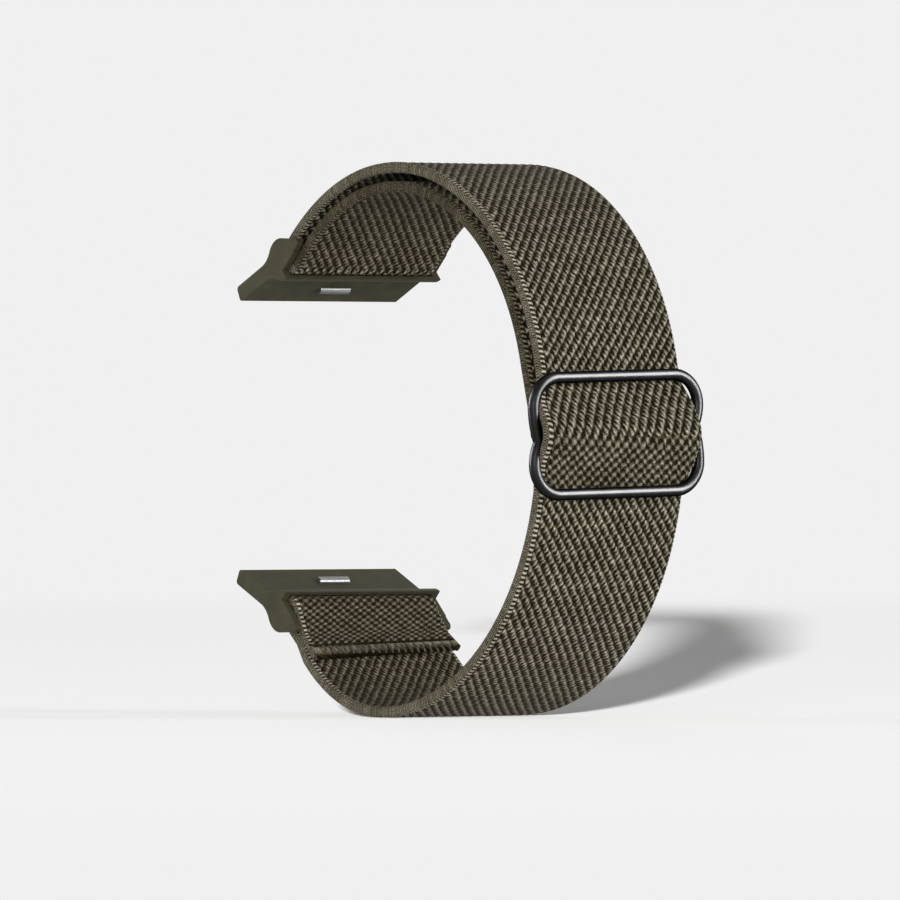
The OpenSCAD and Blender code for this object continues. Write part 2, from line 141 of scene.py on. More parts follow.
# Form of the webbing in mm: ribs, the groove beside each selvedge, and the rounded edge with the
# power that squares its round
RIB_PITCH, RIB_DEPTH = 1.42, 0.10
GROOVE_DEPTH, GROOVE_W = 0.18, 0.25
EDGE_R, EDGE_SQUARE = 0.6, 0.8

# How far in mm the inner layer nests towards the outer one, and the shares of its two lengths over
# which it starts and stops doing so
NEST, NEST_IN, NEST_OUT = 0.55, 0.7, 0.95

# Widths in mm of the near and far selvedge, and of the flap's
BANDS, NARROW_BANDS = (1.15, 0.5), (0.35, 0.35)

# A sewn end in mm: from its edge back to the pressed line, that line's width and depth, how far the
# painted shade of that line reaches behind it, and how much and from where the edge thins out
SEAM_BACK, SEAM_W, SEAM_DEPTH, SEAM_SHADE_REACH = 2.0, 0.42, 0.60, 0.5
TAIL_THIN, TAIL_REACH = 0.35, 0.6

# A rib of the twill runs this far along the band for each 1 across it
RIB_SLOPE = 1.2

# Two sets of slanting rows that make the dots: turns per mm along the band
DOT_RISE, DOT_FALL = 1.30, 0.66

# Material slots of a length of webbing
LEFT, RIGHT, SELVEDGE, EXTRA = range(4)

# The selvedge's pattern takes at least this width in mm, and a narrower one shows its outer part
WHIP_LAYOUT = 1.0


def arc(centre, radius, start, end):
    """Points along an arc, with the direction to the left of the way at each."""
    count = max(4, round(abs(math.radians(end - start)) * radius / STEP))
    a = np.radians(np.linspace(start, end, count + 1))
    spoke = np.stack([np.cos(a), np.sin(a)], 1)
    return centre + radius * spoke, -math.copysign(1, end - start) * spoke


def run(p, q):
    """Points along a straight run, with the direction to its left."""
    count = max(2, round(np.hypot(*(q - p)) / STEP))
    t = np.linspace(0, 1, count + 1)[:, None]
    d = (q - p) / np.hypot(*(q - p))
    return p + t * (q - p), np.tile([-d[1], d[0]], (count + 1, 1))


def join(*parts):
    """Arcs and straight runs that follow each other, as one route."""
    points = np.concatenate([parts[0][0]] + [p[0][1:] for p in parts[1:]])
    left = np.concatenate([parts[0][1]] + [p[1][1:] for p in parts[1:]])
    return points, left


def nested(route, rise, fall):
    """A route moved towards its left by NEST, easing in over a share of it and out over another."""
    points, left = route
    t = np.linspace(0, 1, len(points))
    ease_in = np.clip(t / rise, 0, 1) if rise else 1 + 0 * t
    ease_out = np.clip((1 - t) / fall, 0, 1) if fall else 1 + 0 * t
    amount = NEST * (ease_in * ease_out) ** 2 * (3 - 2 * ease_in * ease_out)
    return points + amount[:, None] * left, left


def rib_wave(slanted, v):
    """0 to 1, highest along each rib."""
    return 0.5 + 0.5 * np.cos(2 * math.pi * (v + slanted / RIB_SLOPE) / RIB_PITCH)


def dot_wave(s, v):
    """Staggered dots where two sets of slanting rows cross."""
    rise, fall = (2 * math.pi * (v / RIB_PITCH + k * s) for k in (DOT_RISE, -DOT_FALL))
    return 0.5 + 0.25 * (np.cos(rise) + np.cos(fall))


def cross_sections(half):
    """Points round the webbing, one row for each half width.

    They are given across the band, as a share of half the thickness, and as the way across over the
    surface, from the middle of its face.
    """
    face = np.linspace(-1, 1, FACE_STEPS + 1)
    bend = np.radians(np.linspace(90, -90, EDGE_STEPS + 2)[1:-1])
    flat = half[:, None] - EDGE_R
    edge_v = flat + EDGE_R * np.cos(bend) ** EDGE_SQUARE
    edge_c = flat + EDGE_R * (math.pi / 2 - np.abs(bend))
    edge_n = np.ones_like(flat) * np.sign(bend) * np.abs(np.sin(bend)) ** EDGE_SQUARE
    face_v = flat * face
    face_n = np.ones_like(face_v)
    v = np.concatenate([face_v, edge_v, face_v[:, ::-1], -edge_v[:, ::-1]], 1)
    n = np.concatenate([face_n, edge_n, -face_n, edge_n[:, ::-1]], 1)
    c = np.concatenate([face_v, edge_c, face_v[:, ::-1], -edge_c[:, ::-1]], 1)
    return v, n, c


def tube_faces(rows, cols):
    """Quads of a closed tube of points, row after row, and the two faces that end it."""
    i, j = np.meshgrid(np.arange(rows - 1), np.arange(cols), indexing="ij")
    k = (j + 1) % cols
    quads = np.stack([i * cols + j, i * cols + k, (i + 1) * cols + k, (i + 1) * cols + j], -1)
    ends = [list(range(cols))[::-1], list(range((rows - 1) * cols, rows * cols))]
    return quads.reshape(-1, 4).tolist(), ends


def lay_weave(mesh, index, *places):
    """Writes the weave's coordinates, with a pair of arrays for the faces of each material slot."""
    loops = np.zeros(len(mesh.loops), np.int32)
    mesh.loops.foreach_get("vertex_index", loops)
    sizes = np.zeros(len(mesh.polygons), np.int32)
    mesh.polygons.foreach_get("loop_total", sizes)
    slot = np.repeat(index, sizes)[:, None]
    at = np.zeros((len(loops), 2))
    for k, pair in enumerate(places):
        at = np.where(slot == k, np.stack(pair, -1).reshape(-1, 2)[loops], at)
    uv = mesh.uv_layers.new(name="Weave")
    uv.data.foreach_set("uv", at.astype(np.float32).reshape(-1))


def webbing(name, route, lean, materials, s0=0.0, widths=((0, STRAP_W, 0),),
            bands=BANDS, change=None, seam=None, spread=1.0, skew=0.0):
    """A length of webbing: woven faces between two whipped, rounded selvedges.

    materials are the left face's, the right face's and the selvedge's. widths give, at shares
    of the length, the width and how far the webbing lies off the band's middle. bands are the
    widths of the near and far selvedge. A change is (distance, material, lean) from which on the
    left face has another weave, and seam is the material of a sewn end's ridge. spread is how far
    the weave is pulled out sideways, and skew how far the end slants. Returns the piece and the
    distance at its end, where the next length goes on.
    """
    points, left = route
    steps = np.hypot(*np.diff(points, axis=0).T)
    s = s0 + np.concatenate([[0], np.cumsum(steps)])
    t = (s - s[0]) / (s[-1] - s[0])
    shares, across, offsets = zip(*widths)
    half = np.interp(t, shares, across) / 2
    shift = np.interp(t, shares, offsets)
    v, n, c = cross_sections(half)
    from_edge = half[:, None] - np.abs(v)
    band = np.where(v < 0, *bands)
    inner = from_edge > band
    flat_s = s[:, None] + 0 * v

    # Relief of the ribs or dots, the grooves and the pressed seam, as a depth below the surface
    slanted = lean * flat_s
    if change:
        slanted += (change[2] - lean) * np.clip(flat_s - s[0] - change[0], 0, None)
    rib = rib_wave(slanted, v / spread)
    depth = np.zeros_like(v)
    for side, kind in ((1, materials[0]), (-1, materials[1])):
        wave = dot_wave(flat_s, v) if "dotted" in kind.name else rib
        here = inner & (n * side > 0)
        depth[here] = RIB_DEPTH * (1 - wave[here])
    depth = np.maximum(depth, GROOVE_DEPTH * np.exp(-(((from_edge - band) / GROOVE_W) ** 2)))
    if seam:
        back = (s[-1] - s)[:, None]
        press = SEAM_DEPTH * np.exp(-(((back - SEAM_BACK) / SEAM_W) ** 2))
        tail = TAIL_THIN * np.clip(1 - back / TAIL_REACH, 0, 1) ** 2
        depth = np.maximum(depth, (press + tail) * (n == 1))
        depth = np.maximum(depth, tail * (n == -1))
    n = n * (STRAP_T / 2 - depth)

    way = np.stack([left[:, 1], -left[:, 0]], 1)
    slant = -skew * (v + half[:, None]) * (t * t)[:, None]
    xz = points[:, None] + n[..., None] * left[:, None] + slant[..., None] * way[:, None] + OFFSET
    co = np.stack([xz[..., 0], v + shift[:, None], xz[..., 1]], -1) * MM
    quads, ends = tube_faces(*v.shape)
    mesh = bpy.data.meshes.new(name)
    mesh.from_pydata(co.reshape(-1, 3), [], quads + ends)
    extra = [change[1]] if change else [seam] if seam else []
    for material in (*materials, *extra):
        mesh.materials.append(material)

    on_left = (n[:-1] > 0) & inner[:-1]
    index = np.where(inner[:-1], np.where(on_left, LEFT, RIGHT), SELVEDGE)
    if change:
        index[(s[:-1, None] - s[0] > change[0]) & on_left] = EXTRA
    if seam:
        index[((s[-1] - s[:-1])[:, None] < SEAM_BACK + SEAM_SHADE_REACH) & (n[:-1] > 0)] = EXTRA
    index = np.concatenate([index.reshape(-1), [SELVEDGE] * len(ends)]).astype(np.int32)
    mesh.polygons.foreach_set("material_index", index)

    # The weave's coordinates are distances along and across in mm, the first from the end on a ridge
    on_face = (flat_s, c / spread)
    on_edge = (flat_s, np.abs(c) - half[:, None] + np.maximum(band, WHIP_LAYOUT))
    on_extra = (s[-1] - flat_s, c) if seam else on_face
    lay_weave(mesh, index, on_face, on_face, on_edge, on_extra)
    mesh.polygons.foreach_set("use_smooth", np.ones(len(mesh.polygons), bool))
    mesh.validate()
    obj = bpy.data.objects.new(name, mesh)
    bpy.context.collection.objects.link(obj)
    return obj, s[-1]


class Net:
    """Builds one material's nodes. An input is a number or another node's output."""

    def __init__(self, name):
        self.material = bpy.data.materials.new(name)
        self.material.use_nodes = True
        self.tree = self.material.node_tree
        self.shader = self.tree.nodes["Principled BSDF"]

    def put(self, socket, value):
        """Links an output to a socket, or sets its value."""
        if isinstance(value, bpy.types.NodeSocket):
            self.tree.links.new(value, socket)
        else:
            socket.default_value = value

    def node(self, kind, settings=None, **inputs):
        """A new node. Inputs go by their names, with _ for a space."""
        made = self.tree.nodes.new(kind)
        for key, value in (settings or {}).items():
            setattr(made, key, value)
        for key, value in inputs.items():
            self.put(made.inputs[key.replace("_", " ")], value)
        return made

    def math(self, operation, *values):
        made = self.node("ShaderNodeMath", {"operation": operation})
        for socket, value in zip(made.inputs, values):
            self.put(socket, value)
        return made.outputs[0]

    def sum(self, *values):
        total = values[0]
        for value in values[1:]:
            total = self.math("ADD", total, value)
        return total

    def product(self, *values):
        total = values[0]
        for value in values[1:]:
            total = self.math("MULTIPLY", total, value)
        return total

    def wave(self, turns):
        """0 to 1, highest at each whole turn."""
        swing = self.math("COSINE", self.product(turns, 2 * math.pi))
        return self.math("MULTIPLY_ADD", swing, 0.5, 0.5)

    def around_zero(self, value, size):
        """A value from 0 to 1, stretched to a size and centred on zero."""
        return self.math("MULTIPLY_ADD", value, size, -size / 2)

    def smooth(self, value, low, high):
        """0 up to low, 1 from high on, and a soft step between."""
        return self.node("ShaderNodeMapRange", {"interpolation_type": "SMOOTHSTEP"},
                         Value=value, From_Min=low, From_Max=high).outputs["Result"]

    def vector(self, x, y, z=0.0):
        return self.node("ShaderNodeCombineXYZ", X=x, Y=y, Z=z).outputs[0]

    def noise(self, at, scale, detail=2.0):
        return self.node("ShaderNodeTexNoise", Vector=at, Scale=scale, Detail=detail).outputs["Fac"]

    def chance(self, at):
        return self.node("ShaderNodeTexWhiteNoise", Vector=at).outputs["Value"]

    def ramp(self, value, stops):
        made = self.node("ShaderNodeValToRGB", Fac=value)
        items = made.color_ramp.elements
        while len(items) < len(stops):
            items.new(0.5)
        for item, (place, colour) in zip(items, stops):
            item.position = place
            item.color = (*colour, 1)
        return made.outputs["Color"]

    def bump(self, height, distance, strength=1.0):
        made = self.node("ShaderNodeBump", Height=height, Distance=distance, Strength=strength)
        self.put(self.shader.inputs["Normal"], made.outputs[0])

    def set(self, **inputs):
        for key, value in inputs.items():
            self.put(self.shader.inputs[key.replace("_", " ")], value)
        return self.material


def linear(shown):
    """The linear value of a colour channel as it is shown."""
    return shown / 12.92 if shown <= 0.04045 else ((shown + 0.055) / 1.055) ** 2.4


# Olive yarn from the deepest gap to the brightest strand: greys as shown, tinted by the same step. The
# deepest greys are partly painted shade in the gaps, the brightest partly painted highlight
YARN_GREYS = (0.03, 0.12, 0.22, 0.34, 0.48, 0.64, 0.85)
YARN_TINT, YARN_LEAST = (0.034, 0.009, -0.060), 0.004
YARN = [(grey, [linear(max(YARN_LEAST, grey + tint)) for tint in YARN_TINT]) for grey in YARN_GREYS]

# Mean tone of the yarn outside, on the inner layer's selvedge, and on the inside; the last two are
# lowered as painted shade
YARN_MEAN, SELVEDGE_SHADE_MEAN, INSIDE_SHADE_MEAN = 0.270, 0.185, 0.240

# How uneven the yarn is: ribs wander and knots jitter by a share of a turn, and fibres and single
# strands differ in tone. The scales are those of the noise behind it, per mm.
WANDER, JITTER, FIBRE, STRAND = 0.3, 0.25, 0.85, 0.10
WANDER_SCALE, JITTER_SCALE, FIBRE_SCALE = 0.6, 1.6, 4.2
YARN_BUMP = 0.30 * MM

# Knots of the twill: their distance in mm, and the turns that they lag per mm across
KNOT_PITCH, KNOT_LAG = 1.75, 0.03

# Selvedge: slanting beads along its inner border, then crossing threads. Pitches in mm, beads' lean in
# turns per mm, mean tones and heights, where beads give way to threads, and the dark line at the border
BEAD_PITCH, BEAD_LEAN, BEAD_MEAN, BEAD_HEIGHT = 0.68, 0.25, 0.42, 0.40
WHIP_PITCH, WHIP_CROSS, WHIP_MEAN, WHIP_UP, WHIP_DOWN = 0.36, 0.55, 0.36, 0.13, 0.10
BEADS_TO_WHIP, BORDER, BORDER_TONE = (0.70, 0.95), (0.02, 0.20), 0.05

# Ridge of the sewn end: its tone above the mean, a painted highlight; the share of it left at the foot
# and in the pressed line, painted shade; the power that rounds that light, the notches in it, and the ply
# of its threads, with pitches in mm
RIDGE_HIGHLIGHT, RIDGE_FOOT_SHADE, RIDGE_ROUND = 0.27, 0.20, 0.6
NOTCH_PITCH, NOTCH_POWER, NOTCH_TONE = 1.6, 4.0, 0.22
PLY_ALONG, PLY_ACROSS, PLY_HEIGHT = 0.9, 0.5, 0.09

# Dots: their tone against the mean, the height of each set of rows, and their share of the jitter
DOT_MEAN, DOT_HEIGHT, DOT_JITTER = -0.03, 0.15, 0.7

# Waves that make up a weave, with painted shade in its gaps and painted highlight on its crowns: turns
# per rib and per knot, height and phase
TWILL = ((1, 0, 0.230, 0.0), (2, -3, 0.150, 0.45), (1, -1, 0.080, 0.0), (1, -2, 0.080, 3.1),
         (1, -3, 0.085, -0.8), (2, 0, 0.060, -1.5), (0, 1, 0.035, -2.6))
INSIDE_GAIN = 0.75
TWILL_INSIDE = tuple((ribs, knots, INSIDE_GAIN * height, phase) for ribs, knots, height, phase in TWILL)
SCALES = ((1, 0, 0.190, 0.0), (1, -2, 0.155, 0.0), (2, -3, 0.080, 0.5), (0, 1, 0.030, -2.6))


def yarn_material(name, weave, lean=1.0, waves=TWILL, knot=KNOT_PITCH, start=0.0, mean=YARN_MEAN):
    """Woven yarn from a formula of the distance along the band and across it, in mm.

    lean is how far the ribs lean against those of the twill, and knot the distance between knots.
    start moves the ribs across, so that a weave goes on from the ribs before it.
    """
    net = Net(name)
    uv = net.node("ShaderNodeUVMap", {"uv_map": "Weave"}).outputs[0]
    at = net.node("ShaderNodeSeparateXYZ", Vector=uv)
    s, c = at.outputs[0], at.outputs[1]
    place = net.vector(s, c)
    apart = net.vector(s, c, 3.0)
    wander = net.around_zero(net.noise(place, WANDER_SCALE), WANDER)
    jitter = net.around_zero(net.noise(apart, JITTER_SCALE, detail=1.0), JITTER)
    fibre = net.around_zero(net.noise(place, FIBRE_SCALE, detail=3.0), FIBRE)

    def cosine(turns, height, phase=0.0):
        angle = net.math("MULTIPLY_ADD", turns, 2 * math.pi, phase)
        return net.product(net.math("COSINE", angle), height)

    def whole(value):
        return net.math("FLOOR", value)

    if weave == "whip":
        bead = net.sum(net.product(s, 1 / BEAD_PITCH), net.product(c, BEAD_LEAN), jitter)
        beads = net.sum(BEAD_MEAN, cosine(bead, BEAD_HEIGHT))
        turns = net.sum(net.product(s, 1 / WHIP_PITCH), jitter)
        cross = net.product(c, 1 / WHIP_CROSS)
        up, down = (net.sum(turns, net.product(cross, sign)) for sign in (1, -1))
        threads = net.sum(WHIP_MEAN, cosine(up, WHIP_UP), cosine(down, WHIP_DOWN))
        outer = net.smooth(c, *BEADS_TO_WHIP)
        inner = net.math("SUBTRACT", 1.0, outer)
        line = net.math("MULTIPLY_ADD", net.smooth(c, *BORDER), 1 - BORDER_TONE, BORDER_TONE)
        strand = net.vector(whole(net.sum(bead, 0.5)), 0.0)
        mixed = net.sum(net.product(beads, inner), net.product(threads, outer))
        high = net.product(mixed, line, mean / YARN_MEAN)
    elif weave == "seam":
        notches = net.wave(net.sum(net.product(c, 1 / NOTCH_PITCH), jitter))
        notch = net.math("POWER", notches, NOTCH_POWER)
        ply = net.sum(net.product(c, 1 / PLY_ACROSS), net.product(s, 1 / PLY_ALONG), jitter)
        # Lighter on the crest, painted highlight, and darker at the foot and in the pressed line, painted
        # shade
        crest_light = net.math("POWER", net.math("SINE", net.product(s, math.pi / SEAM_BACK)), RIDGE_ROUND)
        highlighted = net.sum(mean, RIDGE_HIGHLIGHT, cosine(ply, PLY_HEIGHT), net.product(notch, -NOTCH_TONE))
        strand = net.vector(whole(net.product(c, 2 / NOTCH_PITCH)), 0.0)
        high = net.product(highlighted, net.math("MULTIPLY_ADD", crest_light, 1 - RIDGE_FOOT_SHADE, RIDGE_FOOT_SHADE))
    elif weave == "dotted":
        across = net.sum(net.product(c, 1 / RIB_PITCH), wander)
        rise, fall = (net.sum(across, net.product(s, k), net.product(jitter, DOT_JITTER))
                      for k in (DOT_RISE, -DOT_FALL))
        strand = net.vector(whole(rise), whole(fall))
        high = net.sum(mean, DOT_MEAN, cosine(rise, DOT_HEIGHT), cosine(fall, DOT_HEIGHT))
    else:
        way = 1.0 if lean >= 0 else -1.0
        across = net.sum(c, start, net.product(s, lean / RIB_SLOPE))
        rib = net.sum(net.product(across, 1 / RIB_PITCH), wander)
        along = net.sum(net.product(s, way / knot), net.product(c, -KNOT_LAG), jitter)
        strand = net.vector(whole(net.sum(rib, 0.5)), whole(along))
        high = mean
        for ribs, knots, height, phase in waves:
            turns = net.sum(net.product(rib, ribs), net.product(along, knots))
            high = net.sum(high, cosine(turns, height, phase))
    tone = net.sum(high, net.around_zero(net.chance(strand), STRAND), fibre)
    net.bump(tone, distance=YARN_BUMP, strength=0.5)
    return net.set(Base_Color=net.ramp(tone, YARN), Roughness=0.92, Specular_IOR_Level=0.12,
                   Sheen_Weight=0.03, Sheen_Roughness=0.5, Sheen_Tint=(0.8, 0.76, 0.66, 1))


# In the slider's windows: lean and knots of the columns above and of the scales below, the distance
# in mm at which one weave goes over into the other, and how far both are pulled out sideways
COLUMN_LEAN, COLUMN_KNOT = 0.64, 1.8
SCALE_LEAN, SCALE_KNOT = 0.86, 1.5
WEAVE_CHANGE, WINDOW_SPREAD = 8.6, 1.05
SCALE_START = (COLUMN_LEAN - SCALE_LEAN) * WEAVE_CHANGE / RIB_SLOPE
twill_up = yarn_material("twill_upper_half", "twill", 1.0)
twill_down = yarn_material("twill_lower_half", "twill", -1.0)
# The inside of the loop has a smoother weave and a lower mean tone, which is painted shade
inside_up_shaded = yarn_material("twill_upper_inside_painted_shade", "twill", 1.0, TWILL_INSIDE, mean=INSIDE_SHADE_MEAN)
inside_down_shaded = yarn_material("twill_lower_inside_painted_shade", "twill", -1.0, TWILL_INSIDE, mean=INSIDE_SHADE_MEAN)
columns = yarn_material("ribbed_columns", "twill", COLUMN_LEAN, knot=COLUMN_KNOT)
scales = yarn_material("scaled_weave", "twill", SCALE_LEAN, SCALES, SCALE_KNOT, SCALE_START)
dotted = yarn_material("dotted_weave", "dotted")
whip = yarn_material("whipped_selvedge", "whip")
# The inner layer's selvedge is darker than the outer one's: painted shade
inner_whip_shaded = yarn_material("whipped_selvedge_inner_painted_shade", "whip", mean=SELVEDGE_SHADE_MEAN)
# The ridge's tone carries painted highlight on its crest and painted shade at its foot and pressed line
ridge = yarn_material("seam_ridge_painted_light", "seam")

# Widths of the webbing in mm: gripped by the lugs and drawn in above the slider, at ease elsewhere
LUG_W, DRAWN_W, WINDOW_W, BELOW_W, LOW_W, SEWN_W = 23.8, 23.3, 25.9, 24.2, 25.0, 25.5

# How far the webbing lies off the band's middle in the windows and at the flap's end, in mm, and how
# far that end slants for each 1 across
WINDOW_OFF, FLAP_OFF, FLAP_SKEW = -0.35, 0.3, 0.065

# Materials of the left face, the right face and the selvedge
upper_faces = (twill_up, twill_up, whip)
inner_faces = (twill_up, inside_up_shaded, inner_whip_shaded)
lower_faces = (twill_down, inside_down_shaded, whip)
sewn_faces = (dotted, twill_down, whip)
upper_widths = ((0, LUG_W, 0), (1, STRAP_W, 0))
front_widths = ((0, STRAP_W, 0), (1, DRAWN_W, 0))

outer_top, s_end = webbing(
    "webbing_outer_top", arc(TOP_C, TOP_R, UPPER_TURN, 90), 1, upper_faces, widths=upper_widths)
outer_front, _ = webbing(
    "webbing_outer_front", arc(TOP_C, TOP_R, 90, UPPER_TOUCH), 1, upper_faces, s_end, front_widths)
inner_top, s_end = webbing(
    "webbing_inner_top", nested(arc(TOP_C, INNER_R, UPPER_TURN, 90), NEST_IN, 0), 1, inner_faces,
    widths=upper_widths)
inner_run = run(at_angle(TOP_C, INNER_R, TO_EYE + 90), at_angle(MIDDLE_BAR, EYE_R, TO_EYE - 90))
inner_front, _ = webbing(
    "webbing_inner_front", nested(join(arc(TOP_C, INNER_R, 90, TO_EYE + 90), inner_run), 0, NEST_OUT),
    1, inner_faces, s_end, front_widths)
upper_turn, _ = webbing(
    "webbing_upper_turn", arc(UPPER_PIN, TURN_R, UPPER_TURN + 180, UPPER_TURN), 1, upper_faces,
    widths=((0, LUG_W, 0),))
window_widths = (
    (0, DRAWN_W, 0), (0.25, WINDOW_W, WINDOW_OFF), (0.75, WINDOW_W, WINDOW_OFF), (1, BELOW_W, 0))
weave, _ = webbing(
    "webbing_in_slider",
    join(arc(UPPER_BAR, WRAP_R, UPPER_TOUCH + 180, TO_BULGE + 270),
         run(at_angle(UPPER_BAR, WRAP_R, TO_BULGE - 90), at_angle(MIDDLE_BAR, BULGE_R, TO_BULGE + 90)),
         arc(MIDDLE_BAR, BULGE_R, TO_BULGE + 90, FROM_BULGE + 90),
         run(at_angle(MIDDLE_BAR, BULGE_R, FROM_BULGE + 90),
             at_angle(LOWER_BAR, WRAP_R, FROM_BULGE - 90)),
         arc(LOWER_BAR, WRAP_R, FROM_BULGE + 270, LOWER_TOUCH + 180)),
    COLUMN_LEAN, (columns, columns, whip), widths=window_widths,
    change=(WEAVE_CHANGE, scales, SCALE_LEAN), spread=WINDOW_SPREAD)
sewn_eye, _ = webbing(
    "webbing_sewn_eye",
    join(arc(MIDDLE_BAR, EYE_R, TO_EYE - 90, TO_TAIL - 90),
         run(at_angle(MIDDLE_BAR, EYE_R, TO_TAIL - 90), at_angle(TAIL_BEND, SEAM_R, TO_TAIL + 90)),
         arc(TAIL_BEND, SEAM_R, TO_TAIL + 90, TO_EYE + 270),
         run(TAIL_MEET, TAIL_END)),
    1, upper_faces, widths=((0, DRAWN_W, 0),))
lower_front, s_end = webbing(
    "webbing_lower_front", arc(FRONT_C, FRONT_R, LOWER_TOUCH, -90), -1, lower_faces,
    widths=((0, BELOW_W, 0), (1, LOW_W, 0)))
lower_back, s_end = webbing(
    "webbing_lower_back",
    join(arc(HEEL_C, HEEL_R, -90, -90 - HEEL_TURN), run(HEEL_START, HEEL_END)), -1, lower_faces, s_end,
    ((0, LOW_W, 0), (0.6, SEWN_W, 0), (0.70, SEWN_W, 0), (0.84, LUG_W, 0), (1, LUG_W, 0)))
lower_turn, s_end = webbing(
    "webbing_lower_turn", arc(LOWER_PIN, TURN_R, 270 - HEEL_TURN, TO_FLAP + 90), -1, sewn_faces, s_end,
    ((0, LUG_W, 0),), bands=NARROW_BANDS)
flap, _ = webbing(
    "webbing_flap",
    join(run(at_angle(LOWER_PIN, TURN_R, TO_FLAP + 90), at_angle(FLAP_BEND, SEAM_R, TO_FLAP - 90)),
         arc(FLAP_BEND, SEAM_R, TO_FLAP - 90, FLAP_DIR - 90),
         run(FLAP_MEET, FLAP_END)),
    -1, sewn_faces, s_end, ((0, LUG_W, 0), (0.3, BELOW_W, 0), (1, SEWN_W, FLAP_OFF)), NARROW_BANDS,
    seam=ridge, skew=FLAP_SKEW)


def in_frame(p, y=0.0):
    """A point of the side view, in metres in the frame."""
    return tuple(float(x) * MM for x in (p[0] + OFFSET[0], y, p[1] + OFFSET[1]))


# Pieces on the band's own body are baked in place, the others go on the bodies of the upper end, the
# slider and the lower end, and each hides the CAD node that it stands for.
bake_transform(outer_top)
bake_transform(inner_top)
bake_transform(outer_front)
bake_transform(inner_front)
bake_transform(lower_front)
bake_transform(lower_back)
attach(upper_turn, "upper_end")
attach(weave, "slider")
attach(sewn_eye, "slider")
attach(lower_turn, "lower_end")
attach(flap, "lower_end")
stands_for = {
    outer_top: "strap_outer_top", outer_front: "strap_outer_front", inner_top: "strap_inner_top",
    inner_front: "strap_inner_front", upper_turn: "strap_upper_turn", weave: "strap_weave",
    sewn_eye: "strap_sewn_eye", lower_front: "strap_lower_front", lower_back: "strap_lower_back",
    lower_turn: "strap_lower_turn", flap: "strap_flap",
}
for piece, node in stands_for.items():
    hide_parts(node)

# Stitches: short threads that rise out of the webbing, cross and sink in again. Radius and rise in
# mm, the powers that round their arch and pinch their ends, the share by which a ring tilts, and how
# far a thread slants across the band
THREAD_R, THREAD_SIDES, THREAD_STEPS = 0.17, 8, 10
STITCH_RISE, STITCH_ARCH, STITCH_PINCH, STITCH_TILT, STITCH_SLANT = 0.2, 0.7, 0.5, 0.6, 0.12


def stitches(name, point, along, out, length, pitch, material):
    """A row of threads across the band, each with its top over the point."""
    count = int((STRAP_W - 2 * BANDS[0]) / pitch)
    verts, faces = [], []
    for i in range(count + 1):
        y = (i - count / 2) * pitch
        base = len(verts)
        for k in range(THREAD_STEPS + 1):
            t = k / THREAD_STEPS
            ahead, arch = math.cos(math.pi * t), math.sin(math.pi * t)
            rise = STITCH_RISE * arch**STITCH_ARCH - THREAD_R
            for m in range(THREAD_SIDES):
                around = 2 * math.pi * m / THREAD_SIDES
                up = rise + THREAD_R * math.sin(around) * arch**STITCH_PINCH
                side = -length / 2 * ahead + THREAD_R * math.sin(around) * ahead * STITCH_TILT
                across = THREAD_R * math.cos(around) + STITCH_SLANT * (t - 0.5)
                verts.append(in_frame(point + side * along + up * out, y + across))
        for k in range(THREAD_STEPS):
            for m in range(THREAD_SIDES):
                n = (m + 1) % THREAD_SIDES
                this, after = base + k * THREAD_SIDES, base + (k + 1) * THREAD_SIDES
                faces.append((this + m, this + n, after + n, after + m))
        faces.append(tuple(base + m for m in reversed(range(THREAD_SIDES))))
        faces.append(tuple(base + THREAD_STEPS * THREAD_SIDES + m for m in range(THREAD_SIDES)))
    mesh = bpy.data.meshes.new(name)
    mesh.from_pydata(verts, [], faces)
    mesh.polygons.foreach_set("use_smooth", np.ones(len(mesh.polygons), bool))
    mesh.materials.append(material)
    obj = bpy.data.objects.new(name, mesh)
    bpy.context.collection.objects.link(obj)
    return obj


def object_place(net):
    """Place on the object in metres."""
    return net.node("ShaderNodeTexCoord").outputs["Object"]


def thread_material():
    """Plied thread: fine turns along it, with lighter fibres."""
    net = Net("thread")
    fibre = net.noise(object_place(net), scale=4200.0, detail=3.0)
    net.bump(fibre, distance=0.05 * MM, strength=0.6)
    colours = (0.3, (0.035, 0.031, 0.021)), (0.7, (0.17, 0.155, 0.115))
    return net.set(Base_Color=net.ramp(fibre, colours), Roughness=0.85, Specular_IOR_Level=0.3)


# Rows of stitches in mm: from the webbing's end back to the row, how far it is lifted or sunk, the
# length of a stitch and the distance between two
FLAP_ROW_BACK, FLAP_ROW_LIFT, FLAP_STITCH, FLAP_STITCH_PITCH = 1.05, 0.05, 1.6, 1.1
EYE_ROW_BACK, EYE_ROW_IN, EYE_ROW_SINK, EYE_STITCH, EYE_STITCH_PITCH = 0.2, 0.3, 0.02, 0.8, 2.2
thread = thread_material()
flap_point = FLAP_END - FLAP_ROW_BACK * heading(FLAP_DIR) + (STRAP_T / 2 + FLAP_ROW_LIFT) * INWARD
flap_stitches = stitches(
    "flap_stitches", flap_point, heading(FLAP_DIR), INWARD, FLAP_STITCH, FLAP_STITCH_PITCH, thread)
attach(flap_stitches, "lower_end")
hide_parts("flap_stitching")
eye_out = heading(TO_EYE - 90)
for row, back in (("low", EYE_LEN), ("high", EYE_LEN + TAIL_LEN - EYE_ROW_IN)):
    seam_point = (MIDDLE_BAR + (back + EYE_ROW_BACK) * heading(TO_EYE + 180)
                  + (EYE_R + STRAP_T / 2 - EYE_ROW_SINK) * eye_out)
    made = stitches(f"eye_stitches_{row}", seam_point, heading(TO_EYE), eye_out,
                    EYE_STITCH, EYE_STITCH_PITCH, thread)
    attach(made, "slider")
    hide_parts("eye_stitching")


